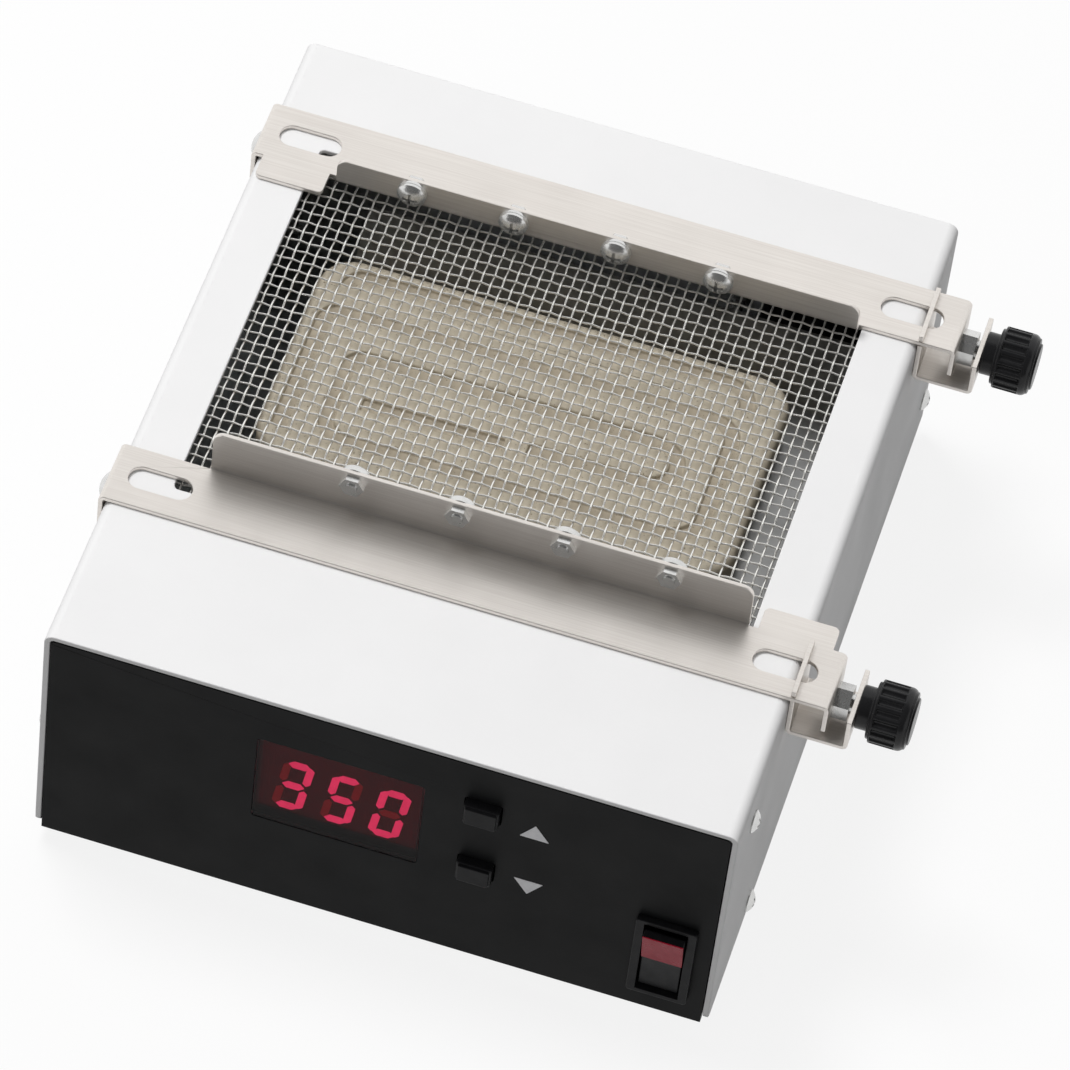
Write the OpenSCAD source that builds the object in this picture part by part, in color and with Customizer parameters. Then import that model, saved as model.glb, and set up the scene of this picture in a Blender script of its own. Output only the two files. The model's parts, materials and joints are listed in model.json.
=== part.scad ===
// Bench preheater for circuit boards: a ceramic infrared plate under a woven wire
// screen, in a folded sheet housing, with two sliding rails that hold the board.
// Millimetres, +X right, +Y to the rear, +Z up. The origin lies on the table, in
// the middle of the housing.

/* [Housing] */
// Width over the cover's sides
body_w = 175; // [160:1:200]
// Depth of the housing, front to back
body_d = 206; // [190:1:240]
// Height of the cover's top above the panel's lower edge
body_h = 77.5; // [72:0.5:95]
// Thickness of the cover's sheet
cover_t = 1.5; // [1:0.1:2]
// Outside radius of the cover's bends
cover_bend = 2.8; // [2.5:0.1:6]
// Height of the cover's sides above the panel's lower edge
side_lift = 1; // [0.5:0.5:4]
// Thickness of the chassis sheet
chassis_t = 1.2; // [0.8:0.1:2]
// Outside radius of the chassis bends
chassis_bend = 2.4; // [2.2:0.1:4]
// Thickness of the front panel
panel_t = 2; // [1.5:0.1:3]
// Gap all round between sheet parts that slide into each other
sheet_gap = 0.25; // [0.1:0.05:0.5]
// Height of the rubber feet
foot_h = 5; // [4.5:0.5:12]
// Diameter of the rubber feet
foot_d = 15; // [12:0.5:20]
// Distance of the feet from the housing's edges
foot_inset = 18; // [14:1:24]

/* [Heating opening] */
// Distance of the opening from the cover's sides
open_margin = 14.5; // [13:0.5:24]
// Depth of the opening in the cover
open_d = 118; // [110:1:122]
// Middle of the opening behind the middle of the housing
open_y = 10; // [6:1:14]
// Diameter of the screen's wires
wire_d = 0.56; // [0.4:0.02:0.8]
// Spacing of the wires that run front to back
wire_pitch_x = 2.76; // [2:0.02:4]
// Spacing of the wires that run left to right
wire_pitch_y = 3.27; // [2:0.02:4]
// How far the wires reach under the cover
wire_grip = 4; // [3:0.5:5]
// Width of the frame that grips the screen
frame_w = 10; // [9:0.5:11]
// Thickness of the frame that grips the screen
frame_t = 1.2; // [0.8:0.1:2]

/* [Heater] */
// Length of the ceramic plate
heater_w = 124; // [118:1:128]
// Depth of the ceramic plate
heater_d = 67; // [60:1:70]
// Thickness of the ceramic plate
heater_h = 11; // [8:0.5:13]
// Corner radius of the ceramic plate
heater_r = 9.5; // [7:0.5:14]
// Rounding of the ceramic plate's upper edge
heater_edge = 2.5; // [1.5:0.5:4]
// Depth of the plate's top below the cover's top
heater_drop = 7; // [5:0.5:10]
// Width of the grooves in the plate
groove_w = 4; // [2:0.2:4.6]
// Depth of the grooves in the plate
groove_depth = 1.1; // [0.4:0.1:1.5]
// Thickness of the reflector's sheet
reflector_t = 1; // [0.6:0.1:1.5]
// How far the reflector ends short of the opening on the left
reflector_short = 16; // [10:1:22]
// How far the reflector runs past the opening on the right
reflector_over = 3; // [0:0.5:5]

/* [Front panel] */
// Middle of the display, left of the middle of the panel
window_x = 11.2; // [6:0.5:20]
// Height of the display's middle above the panel's lower edge
window_z = 46; // [40:0.5:50]
// Width of the display window
window_w = 42.4; // [36:0.5:50]
// Height of the display window
window_h = 31; // [24:0.5:34]
// Distance of the buttons right of the middle
button_x = 24.9; // [24:0.1:30]
// Height of the upper button's middle above the panel's lower edge
button_up_z = 59.1; // [56:0.1:62]
// Height of the lower button's middle above the panel's lower edge
button_down_z = 35.8; // [30:0.1:42]
// Width of a button's cap
button_w = 9; // [6:0.2:10]
// Height of a button's cap
button_h = 7; // [6:0.2:9]
// How far a button stands out of the panel
button_out = 3; // [2:0.25:5]
// How far a button goes in
button_travel = 1.5; // [0.5:0.1:1.6]
// Distance of the power switch from the cover's right side
switch_in = 13.5; // [11:0.5:20]
// Height of the power switch's middle above the panel's lower edge
switch_z = 22.3; // [19:0.5:32]
// Width of the power switch's bezel
bezel_w = 15.5; // [14.5:0.5:18]
// Height of the power switch's bezel
bezel_h = 29.5; // [28.5:0.5:32]
// How far the bezel stands out of the panel
bezel_out = 1.8; // [1:0.2:3]
// Half of the rocker's height
rocker_half = 11.9; // [10:0.1:12]
// Tilt of the rocker to each side, in degrees
rocker_tilt = 7.75; // [5:0.25:10]
// Angle of each half of the rocker to its middle plane, in degrees
rocker_dish = 5.25; // [4:0.25:9]

/* [Board rails] */
// Thickness of the rails' sheet
rail_t = 1.2; // [1:0.1:1.6]
// Width of the rails, to the flange's face
rail_w = 19.4; // [17:0.1:24]
// Height of the front flange above the strip
front_flange_h = 13.2; // [12:0.1:18]
// Height of the rear flange above the strip
rear_flange_h = 7.8; // [7.6:0.1:14]
// Outside radius of the rails' bends
rail_bend = 1.6; // [1.5:0.1:3]
// Gap between the rails and the cover
rail_gap = 0.2; // [0.1:0.05:0.5]
// Distance of the front rail's outer edge from the housing's front
front_rail_at = 44; // [40:1:50]
// Distance of the rear rail's outer edge from the housing's back
rear_rail_at = 24.5; // [20:1:30]
// Distance of the flanges' left end from the cover's side
flange_in_left = 21.5; // [21:0.5:30]
// Distance of the flanges' right end from the cover's side
flange_in_right = 15.5; // [15:0.5:24]
// Length of the slots
slot_l = 16.4; // [12:0.2:16.4]
// Width of the slots
slot_w = 6.8; // [6:0.2:8]
// Depth of a rail's left leg below its strip
left_leg = 13; // [11.5:0.5:18]
// How far a tab reaches past the flange
tab_reach = 5.5; // [3:0.5:8]
// Spacing of the support screws
support_pitch = 27; // [20:0.5:28]
// First support screw of the front rail, left of the middle
front_support = 30; // [24:0.5:40]
// First support screw of the rear rail, left of the middle
rear_support = 45.7; // [40:0.1:50]
// Depth of the support screws below the flange's upper edge
support_drop = 3.7; // [3.4:0.1:4]
// Thread radius of the support screws
support_r = 1.5; // [1.2:0.1:1.6]
// Head radius of the support screws
support_head_r = 3.8; // [3:0.1:3.9]

/* [Rail clamps] */
// Width of a clamp bracket
clamp_w = 17.5; // [14:0.5:17.5]
// Width of the neck that passes the slot
neck_w = 5; // [4:0.25:5.25]
// Gap between a bracket and the cover's side when clamped
clamp_gap = 0.1; // [0.05:0.05:0.3]
// Height of the bracket's head above the strip
head_rise = 2; // [1.4:0.1:4]
// Distance from the cover's side to the rail's right leg
leg_reach = 8.7; // [8:0.1:10]
// Distance from the cover's side to the bracket's outer leg
arm_reach = 14.7; // [14.5:0.1:18]
// Depth of the knob's axis below the cover's top
axis_drop = 5.7; // [5.2:0.1:6.5]
// Depth of the bracket's web below the cover's top
web_drop = 13; // [12.5:0.5:18]
// Thread radius of the knob's stud
stud_r = 2.5; // [2:0.1:2.5]
// Radial clearance of the stud
stud_gap = 0.06; // [0.02:0.01:0.1]
// Diameter of the knob
knob_d = 16; // [14:0.5:22]
// Length of the ribbed part of the knob
knob_l = 10; // [7:0.5:14]
// Length of the grip grooves in the knob
knob_grip = 6; // [4:0.5:7]
// Number of grip grooves in the knob
knob_ribs = 18; // [10:1:20]

/* [Electronics] */
// Distance of the mains inlet from the cover's right side
inlet_in = 32.5; // [28:0.5:60]
// Height of the mains inlet above the panel's lower edge
inlet_up = 28; // [20:1:40]
// Width of the mains inlet's body
inlet_w = 27; // [24:0.5:30]
// Height of the mains inlet's body
inlet_h = 19.8; // [18:0.5:22]
// Distance between the mains inlet's screws
inlet_pitch = 40; // [36:1:44]
// Width of the transformer
transformer_w = 32; // [24:1:40]
// Height of the transformer
transformer_h = 28; // [20:1:36]
// Depth of the transformer
transformer_d = 20; // [14:1:22]
// Height of the heat sink
sink_h = 30; // [20:1:36]
// Depth of the heat sink
sink_d = 18; // [12:1:20]
// Distance of the heat shield from the front
shield_at = 40; // [38:1:44]

/* [Hidden] */
$fn = 48;
open_w = body_w - 2 * open_margin;
reflector_left = open_w / 2 - reflector_short;
reflector_right = open_w / 2 + reflector_over;
flange_left = body_w / 2 - flange_in_left;
flange_right = body_w / 2 - flange_in_right;
switch_x = body_w / 2 - switch_in;
front_y = -body_d / 2;
back_y = body_d / 2;
base_z = foot_h;
top_z = foot_h + body_h;
under_z = top_z - cover_t;
inner_w = body_w - 2 * cover_t;
panel_w = inner_w - 2 * sheet_gap;
panel_top = under_z - sheet_gap;
chassis_w = inner_w - 2 * sheet_gap - 0.1;
chassis_x = chassis_w / 2;
wall_y = front_y + panel_t;
wall_back_y = wall_y + chassis_t;
rear_wall_y = back_y - 1;
floor_z = base_z + chassis_t;
chassis_h = body_h - cover_t - 2;
// Cover screws, as distance from the front and height above the panel's lower edge
right_screws = [[18, 62], [35, 6.5], [body_d - 6.5, 15]];
left_screws = [[6, 37], [35, 9], [body_d - 9, 14]];
cover_screw_r = 1.45;
foot_x = body_w / 2 - foot_inset;
foot_y = body_d / 2 - foot_inset;
stud_in = chassis_x - 7.7;
panel_studs = [[-stud_in, 14], [-stud_in, body_h - 11.5], [38, 14], [stud_in, body_h - 11.5]];
stud_thread = 1.5;
// Screen and frame
wire_top_z = under_z - 0.05 - wire_d / 2;
wire_low_z = wire_top_z - wire_d - 0.02;
frame_top = wire_low_z - wire_d / 2 - 0.03;
frame_in_w = open_w + 1;
frame_in_d = open_d + 1;
frame_studs = [[-1, -1], [0, -1], [1, -1], [-1, 1], [0, 1], [1, 1]];
frame_stud_x = open_w / 2 + wire_grip + 2.5;
frame_stud_y = open_d / 2 + wire_grip + 3;
frame_nut_h = 2.4;
wires_x = floor((open_w / 2 + wire_grip - wire_d) / wire_pitch_x);
wires_y = floor((open_d / 2 + wire_grip - wire_d) / wire_pitch_y);
// Heater and reflector
heater_top = top_z - heater_drop;
heater_low = heater_top - heater_h;
shoulder_h = 3;
tray_top = heater_low - shoulder_h;
tray_low = tray_top - reflector_t;
collar_w = 40;
collar_d = 16;
collar_low = tray_low - 14;
tray_half = heater_d / 2 + 4.5;
tray_rise = heater_top - tray_top - 1;
tray_flare = 14;
leg_half = 26;
lead_z = floor_z + 16;
lead_bend = 8;
block_l = 24;
block_x = -reflector_left + reflector_t + 13 + block_l / 2;
block_h = 24;
probe_x = -collar_w / 2 - 16;
// Electronics
shield_y = front_y + shield_at;
shield_screw_x = chassis_x - 25;
window_back_y = wall_y + 1;
display_y = wall_back_y + 0.1;
display_d = 8;
board_y = display_y + display_d;
board_t = 1.6;
board_left = -chassis_x + 33.7;
board_right = switch_x - 16;
board_low = base_z + 12;
board_high = base_z + min(70, chassis_h - 3);
switch_body_y = board_y - 3.5;
button_end_y = switch_body_y - button_travel - 0.3;
board_holes = [[board_left + 5, board_low + 5], [board_left + 5, board_high - 5],
               [board_right - 5, board_low + 5], [board_right - 5, board_high - 5]];
rocker_y = front_y + 2;
bezel_open_w = 11;
bezel_open_h = 2 * rocker_half + 2.8;
inlet_x = body_w / 2 - inlet_in;
inlet_z = base_z + inlet_up;
vent_x = -chassis_x + 23.7;
// Rails and clamps
strip_z = top_z + rail_gap;
strip_top = strip_z + rail_t;
front_rail_y = front_y + front_rail_at;
rear_rail_y = back_y - rear_rail_at;
side_x = body_w / 2;
left_leg_x = -side_x - 0.3 - rail_t;
right_leg_x = side_x + leg_reach + rail_t;
leg_w = rail_w - rail_t - 0.3;
support_washer_t = 0.8;
support_nut_h = 1.5;
slot_at = (rail_w - rail_t) / 2;
slot_right = right_leg_x - 5.4;
slot_left = left_leg_x + 21.2;
tab_out = right_leg_x - rail_bend - 2.3;
tab_in = flange_right + 2.5;
axis_z = top_z - axis_drop;
right_leg_low = axis_z - 4.6;
web_z = top_z - web_drop;
clamp_x = side_x + clamp_gap;
arm_x = side_x + arm_reach;
arm_top = axis_z + 3.4;
hub_x = arm_x + rail_t + 0.2;
hub_l = 3.2;
hub_r = 5.5;
nut_af = 3.2 * stud_r;
nut_h = 1.6 * stud_r;

// Flat shape with two rounded upper corners, standing on the X axis
module arch(w, h, r) {
    translate([-w / 2, 0]) square([w, h - r]);
    translate([-w / 2 + r, 0]) square([w - 2 * r, h]);
    for (s = [-1, 1]) translate([s * (w / 2 - r), h - r]) circle(r);
}

// Section of a sheet folded to a U, open at the bottom
module u_section(w, h, t, r) {
    difference() {
        arch(w, h, r);
        translate([0, -1]) arch(w - 2 * t, h - t + 1, r - t);
    }
}

// Section of a sheet folded to an L: along +X, then up
module l_section(run, rise, t, r) {
    square([run - r, t]);
    translate([run - t, r]) square([t, rise - r]);
    translate([run - r, r]) intersection() {
        difference() {
            circle(r);
            circle(r - t);
        }
        translate([0, -r]) square(r);
    }
}

// Flat rectangle with rounded corners, about the origin
module rounded(w, h, r) {
    square([w - 2 * r, h], center = true);
    square([w, h - 2 * r], center = true);
    for (x = [-1, 1], y = [-1, 1]) translate([x * (w / 2 - r), y * (h / 2 - r)]) circle(r);
}

// Flat slot with round ends, along X
module slot(l, w) {
    square([l - w, w], center = true);
    for (s = [-1, 1]) translate([s * (l - w) / 2, 0]) circle(w / 2);
}

// Turns a flat shape upright: its Y becomes Z and it grows to the rear from y0
module upright(y0, t) {
    translate([0, y0 + t, 0]) rotate([90, 0, 0]) linear_extrude(t) children();
}

// Turns a section into a bar along X: its X becomes Y and its Y becomes Z
module along_x(x0, l) {
    translate([x0, 0, 0]) rotate([90, 0, 90]) linear_extrude(l) children();
}

// Cross-head screw along -Z, its head's seat at the origin
module pan_screw(r, head_r, head_h, l) {
    crown = head_r * 1.3;
    difference() {
        intersection() {
            cylinder(r = head_r, h = head_h);
            translate([0, 0, head_h - crown]) sphere(crown);
        }
        for (a = [0, 90]) rotate(a) translate([-head_r * 0.5, -head_r * 0.11, head_h * 0.5])
            cube([head_r, head_r * 0.22, head_h]);
    }
    translate([0, 0, -l]) cylinder(r = r, h = l);
}

module hex_nut(af, h, bore) {
    difference() {
        cylinder(d = af / cos(30), h = h, $fn = 6);
        translate([0, 0, -1]) cylinder(r = bore, h = h + 2);
    }
}

// Places a screw or nut on the cover's right side (s = 1) or left side (s = -1)
module on_side(s, at, x) {
    translate([s * x, front_y + at[0], base_z + at[1]]) rotate([0, s * 90, 0]) children();
}

module cover_shape() {
    difference() {
        translate([0, back_y, base_z + side_lift]) rotate([90, 0, 0])
            linear_extrude(body_d) u_section(body_w, body_h - side_lift, cover_t, cover_bend);
        translate([0, open_y, under_z - 1]) linear_extrude(cover_t + 2) rounded(open_w, open_d, 1.5);
        for (p = right_screws) on_side(1, p, inner_w / 2 - 1)
            cylinder(r = cover_screw_r + 0.2, h = cover_t + 2);
        for (p = left_screws) on_side(-1, p, inner_w / 2 - 1)
            cylinder(r = cover_screw_r + 0.2, h = cover_t + 2);
        translate([-body_w, front_y, base_z + side_lift]) difference() {
            translate([0, -1, -1]) cube([2 * body_w, 4, 4]);
            translate([-1, 3, 3]) rotate([0, 90, 0]) cylinder(r = 3, h = 2 * body_w + 2);
        }
    }
}

module cover() {
    color("#f2f2f0") {
        cover_shape();
        for (p = frame_studs) translate([p[0] * frame_stud_x, open_y + p[1] * frame_stud_y, under_z - 6])
            cylinder(r = stud_thread, h = 6.5);
    }
}

module cover_screws() {
    color("#e6e6e4") {
        for (p = right_screws) on_side(1, p, side_x)
            pan_screw(cover_screw_r, 3, 1.8, cover_t + chassis_t + 2);
        for (p = left_screws) on_side(-1, p, side_x)
            pan_screw(cover_screw_r, 3, 1.8, cover_t + chassis_t + 2);
    }
}

module front_panel() {
    color("#161618") {
        translate([0, 0, base_z]) difference() {
            upright(front_y, panel_t) difference() {
                arch(panel_w, panel_top - base_z, cover_bend - cover_t);
                translate([-window_x, window_z]) rounded(window_w + 0.2, window_h + 0.2, 1);
                for (z = [button_up_z, button_down_z]) translate([button_x, z])
                    rounded(button_w + 0.6, button_h + 0.6, 0.8);
                translate([switch_x, switch_z]) square([bezel_w - 1.8, bezel_h - 1.3], center = true);
            }
        }
        for (p = panel_studs) translate([p[0], wall_y - 0.5, base_z + p[1]]) rotate([-90, 0, 0])
            cylinder(r = stud_thread, h = chassis_t + 4.5);
    }
}

module panel_nuts() {
    color("#c9c9c4") for (p = panel_studs) translate([p[0], wall_back_y, base_z + p[1]]) rotate([-90, 30, 0])
        hex_nut(5.5, 2.4, stud_thread + 0.05);
}

module chassis_shape() {
    depth = rear_wall_y - wall_y;
    translate([0, wall_y + depth / 2, base_z + chassis_h]) mirror([0, 0, 1])
        along_x(-chassis_x, chassis_w) u_section(depth, chassis_h, chassis_t, chassis_bend);
    for (s = [-1, 1]) {
        translate([s * (chassis_x - chassis_t / 2), (wall_y + rear_wall_y) / 2, base_z + 11])
            cube([chassis_t, depth - 6, 22], center = true);
        translate([s * (chassis_x - chassis_t / 2), wall_y + 13, base_z + 48])
            cube([chassis_t, 26 - chassis_t, 44], center = true);
    }
}

module chassis() {
    color("#b9bcbd") difference() {
        chassis_shape();
        for (p = right_screws) on_side(1, p, chassis_x - 4) cylinder(r = cover_screw_r + 0.05, h = 6);
        for (p = left_screws) on_side(-1, p, chassis_x - 4) cylinder(r = cover_screw_r + 0.05, h = 6);
        translate([0, 0, base_z]) upright(wall_y - 1, chassis_t + 2) {
            translate([-window_x, window_z]) rounded(window_w + 4.6, window_h + 4.6, 1);
            for (z = [button_up_z, button_down_z]) translate([button_x, z])
                rounded(button_w + 3.6, button_h + 3.6, 1);
            translate([switch_x, switch_z]) square([bezel_w - 1.6, bezel_h - 1.1], center = true);
            for (p = panel_studs) translate(p) circle(stud_thread + 0.2);
        }
        upright(wall_y - 1, chassis_t + 2) for (p = board_holes) translate(p) circle(1.5);
        upright(rear_wall_y - chassis_t - 1, chassis_t + 2) {
            translate([inlet_x, inlet_z]) rounded(inlet_w + 0.6, inlet_h + 0.6, 2);
            for (s = [-1, 1]) translate([inlet_x + inlet_pitch / 2 * s, inlet_z]) circle(1.7);
            for (i = [0:9]) translate([vent_x + 9 * i, base_z + body_h - 25.5]) rotate(90) slot(24, 4);
        }
        translate([0, 0, base_z - 1]) linear_extrude(chassis_t + 2) {
            for (i = [-3:3], s = [-1, 1]) translate([16 * i, open_y + 42 * s]) rotate(90) slot(24, 4);
            for (x = [-1, 1], y = [-1, 1]) translate([x * foot_x, y * foot_y]) circle(1.65);
            for (p = tray_feet()) translate(p) circle(1.5);
            for (s = [-1, 1]) translate([shield_screw_x * s, shield_y + 7]) circle(1.5);
            translate([block_x, open_y]) circle(1.5);
            translate([inlet_x - 8, back_y - 42]) circle(2.05);
        }
    }
}

// Screw places of the reflector's two legs
function tray_feet() = [for (x = [-reflector_left + 7, reflector_right - 7], s = [-1, 1])
    [x, open_y + s * 18]];

module rubber_feet() {
    color("#1d1d1d") for (x = [-1, 1], y = [-1, 1]) translate([x * foot_x, y * foot_y, 0])
        rotate_extrude() polygon([[3.8, 0], [foot_d / 2 - 1.5, 0], [foot_d / 2, foot_h], [1.75, foot_h],
                                  [1.75, foot_h - 1.5], [3.8, foot_h - 1.5]]);
}

module foot_screws() {
    color("#c9c9c4") for (x = [-1, 1], y = [-1, 1]) translate([x * foot_x, y * foot_y, foot_h - 1.5])
        rotate([180, 0, 0]) pan_screw(1.5, 2.9, 1.8, chassis_t + 5);
}

module foot_nuts() {
    color("#c9c9c4") for (x = [-1, 1], y = [-1, 1]) translate([x * foot_x, y * foot_y, floor_z])
        hex_nut(5.5, 2.4, 1.55);
}

module wire_mesh() {
    color("#cfcfc8") translate([0, open_y, 0]) {
        for (i = [-wires_y:wires_y]) translate([0, i * wire_pitch_y, wire_top_z]) rotate([0, 90, 0])
            cylinder(d = wire_d, h = open_w + 2 * wire_grip, center = true);
        for (i = [-wires_x:wires_x]) translate([i * wire_pitch_x, 0, wire_low_z]) rotate([90, 0, 0])
            cylinder(d = wire_d, h = open_d + 2 * wire_grip, center = true);
    }
}

module mesh_frame() {
    color("#b9bcbd") translate([0, open_y, frame_top - frame_t]) linear_extrude(frame_t) difference() {
        rounded(frame_in_w + 2 * frame_w, frame_in_d + 2 * frame_w, 3);
        rounded(frame_in_w, frame_in_d, 2);
        for (p = frame_studs) translate([p[0] * frame_stud_x, p[1] * frame_stud_y]) circle(stud_thread + 0.2);
    }
}

module mesh_frame_nuts() {
    color("#c9c9c4") for (p = frame_studs)
        translate([p[0] * frame_stud_x, open_y + p[1] * frame_stud_y, frame_top - frame_t - frame_nut_h])
            hex_nut(5.5, frame_nut_h, stud_thread + 0.05);
}

// Plate with rounded corners and a rounded upper edge, standing on the XY plane
module pillow(w, d, h, r, e) {
    along_x(-w / 2 + r, w - 2 * r) arch(d, h, e);
    translate([0, d / 2 - r, 0]) rotate([90, 0, 0]) linear_extrude(d - 2 * r) arch(w, h, e);
    for (x = [-1, 1], y = [-1, 1]) translate([x * (w / 2 - r), y * (d / 2 - r), 0]) rotate_extrude() {
        square([r, h - e]);
        square([r - e, h]);
        translate([r - e, h - e]) circle(e);
    }
}

// Quarter of a flat ring about c, in the quadrant of the signs sx and sy
module groove_bend(c, r, sx, sy) {
    translate(c) intersection() {
        difference() {
            circle(r + groove_w / 2);
            circle(r - groove_w / 2);
        }
        translate([sx < 0 ? -2 * r : 0, sy < 0 ? -2 * r : 0]) square(2 * r);
    }
}

module groove_x(x0, x1, y) {
    translate([x0, y - groove_w / 2]) square([x1 - x0, groove_w]);
}

module groove_y(x, y0, y1) {
    translate([x - groove_w / 2, y0]) square([groove_w, y1 - y0]);
}

// Flat path of the spiral groove that divides the plate's wound ridge
module spiral() {
    px = heater_w / 2;
    py = heater_d / 2;
    y1 = py - 5.5;
    y2 = py - 18;
    y3 = py - 30.5;
    y4 = py - 44;
    y5 = py - 57.5;
    groove_x(-px + 12, px - 17, y1);
    groove_bend([-px + 12, y1 - 4], 4, -1, 1);
    groove_bend([px - 17, y1 - 7], 7, 1, 1);
    groove_y(-px + 5.5, -py + 8, y2 - 4);
    groove_bend([-px + 9.5, y2 - 4], 4, -1, 1);
    groove_x(-px + 9.5, px - 17.5, y2);
    groove_bend([px - 17.5, y2 - 7], 7, 1, 1);
    groove_y(px - 10.5, y5 + 8, y2 - 7);
    groove_bend([px - 18.5, y5 + 8], 8, 1, -1);
    groove_x(-px + 22, px - 18.5, y5);
    groove_bend([-px + 22, y5 + 6], 6, -1, -1);
    groove_y(-px + 16, y5 + 6, y3 - 4);
    groove_bend([-px + 20, y3 - 4], 4, -1, 1);
    groove_x(-px + 20, px - 28, y3);
    groove_bend([px - 28, y3 - 6.75], 6.75, 1, 1);
    groove_bend([px - 28, y3 - 6.75], 6.75, 1, -1);
    groove_x(4, px - 28, y4);
    groove_x(-px + 23, -2, y4 - 1);
}

module ceramic_heater() {
    color("#d8ccb2") translate([0, open_y, 0]) difference() {
        union() {
            translate([0, 0, heater_low]) pillow(heater_w, heater_d, heater_h, heater_r, heater_edge);
            translate([0, 0, tray_top + shoulder_h / 2 + 0.25])
                cube([collar_w + 8, collar_d + 8, shoulder_h + 0.5], center = true);
            translate([-collar_w / 2, -collar_d / 2, collar_low])
                cube([collar_w, collar_d, heater_low + 1 - collar_low]);
        }
        translate([0, 0, heater_top - groove_depth]) linear_extrude(groove_depth + 1) spiral();
        for (s = [-1, 1]) translate([-collar_w / 2 - 1, s * collar_d / 2 - 1.5, tray_low - 1.4])
            cube([collar_w + 2, 3, 1.4]);
        translate([probe_x, 0, heater_low - 1]) cylinder(r = 1.6, h = 6);
        for (s = [-1, 1]) translate([0, s * 4, collar_low - 1]) cylinder(r = 1.3, h = 7);
    }
}

module reflector() {
    color("#c4c6c6") difference() {
        union() {
            translate([0, open_y, tray_low])
                along_x(-reflector_left, reflector_left + reflector_right) difference() {
                polygon([[-tray_half, 0], [tray_half, 0], [tray_half + tray_flare, tray_rise + reflector_t],
                         [-tray_half - tray_flare, tray_rise + reflector_t]]);
                polygon([[-tray_half + 0.8, reflector_t], [tray_half - 0.8, reflector_t],
                         [tray_half + tray_flare - 0.4, tray_rise + reflector_t + 1],
                         [-tray_half - tray_flare + 0.4, tray_rise + reflector_t + 1]]);
            }
            for (s = [-1, 1]) {
                x = s < 0 ? -reflector_left : reflector_right - reflector_t;
                translate([x, open_y - leg_half, floor_z])
                    cube([reflector_t, 2 * leg_half, tray_low - floor_z + 0.2]);
                translate([s < 0 ? x : x - 11, open_y - leg_half, floor_z])
                    cube([11 + reflector_t, 2 * leg_half, reflector_t]);
            }
        }
        translate([0, open_y, tray_low - 1]) linear_extrude(reflector_t + 2)
            square([collar_w + 0.6, collar_d + 0.6], center = true);
        translate([probe_x, open_y, tray_low - 1]) cylinder(r = 1.7, h = reflector_t + 2);
        for (p = tray_feet()) translate([p[0], p[1], floor_z - 1]) cylinder(r = 1.6, h = reflector_t + 2);
        translate([-reflector_left - 1, open_y - 9, floor_z + 8]) cube([reflector_t + 2, 18, 18]);
    }
}

module reflector_screws() {
    color("#c9c9c4") for (p = tray_feet()) translate([p[0], p[1], floor_z + reflector_t])
        pan_screw(1.45, 2.8, 1.7, reflector_t + chassis_t + 2);
}

module heater_clip() {
    color("#b7b8b6") translate([0, open_y, tray_low - 1.2]) {
        linear_extrude(1) difference() {
            square([collar_w + 16, collar_d + 10], center = true);
            square([collar_w + 0.6, collar_d - 2.6], center = true);
        }
        for (s = [-1, 1]) translate([s * (collar_w / 2 + 7.4) - 0.6, -8, -5]) cube([1.2, 16, 5.4]);
    }
}

module heater_leads() {
    color("#d9d2c0") for (s = [-1, 1]) translate([0, open_y + 4 * s, 0]) {
        translate([0, 0, lead_z + lead_bend]) cylinder(r = 1.2, h = collar_low + 4 - lead_z - lead_bend);
        translate([-lead_bend, 0, lead_z + lead_bend]) rotate([90, 0, 0]) rotate_extrude(angle = -90)
            translate([lead_bend, 0]) circle(1.2);
        translate([block_x + block_l / 2 - 6, 0, lead_z]) rotate([0, 90, 0])
            cylinder(r = 1.2, h = -lead_bend - block_x - block_l / 2 + 6);
    }
}

module terminal_block() {
    color("#ece7da") translate([block_x, open_y, floor_z]) difference() {
        translate([-block_l / 2, -9, 0]) cube([block_l, 18, block_h]);
        for (s = [-1, 1]) {
            translate([-block_l, 4 * s, lead_z - floor_z]) rotate([0, 90, 0])
                cylinder(r = 1.4, h = 2 * block_l);
            translate([6, 4.5 * s, block_h - 7]) cylinder(r = 2.1, h = 9);
            translate([-6, 4.5 * s, block_h - 7]) cylinder(r = 2.1, h = 9);
        }
        translate([0, 0, -1]) cylinder(r = 1.6, h = block_h + 2);
        translate([0, 0, 9]) cylinder(r = 3, h = block_h);
    }
}

module terminal_screws() {
    color("#c8a24a") translate([block_x, open_y, floor_z]) {
        for (x = [-6, 6], s = [-1, 1]) translate([x, 4.5 * s, block_h - 6.7]) difference() {
            cylinder(r = 2, h = 4);
            translate([-2.5, -0.4, 3]) cube([5, 0.8, 2]);
        }
        translate([0, 0, 9]) pan_screw(1.45, 2.7, 1.7, 9 + chassis_t + 2);
    }
}

module thermocouple() {
    color("#a9abab") translate([probe_x, open_y, 0]) {
        translate([0, 0, tray_low - 12]) cylinder(r = 1.5, h = heater_low + 4 - tray_low + 12);
        translate([0, 0, tray_low - 4]) cylinder(r = 3.2, h = 3.95, $fn = 6);
    }
}

module heat_shield() {
    color("#b9bcbd") difference() {
        translate([0, shield_y + 12, floor_z]) mirror([0, 1, 0]) along_x(-chassis_x + 4, chassis_w - 8)
            l_section(12, board_high - floor_z, chassis_t, chassis_bend);
        for (s = [-1, 1]) translate([shield_screw_x * s, shield_y + 7, floor_z - 1])
            cylinder(r = 1.6, h = chassis_t + 2);
        for (s = [-1, 1]) translate([40 * s, shield_y - 1, floor_z + 12]) rotate([-90, 0, 0])
            cylinder(r = 5, h = chassis_t + 3);
    }
}

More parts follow.
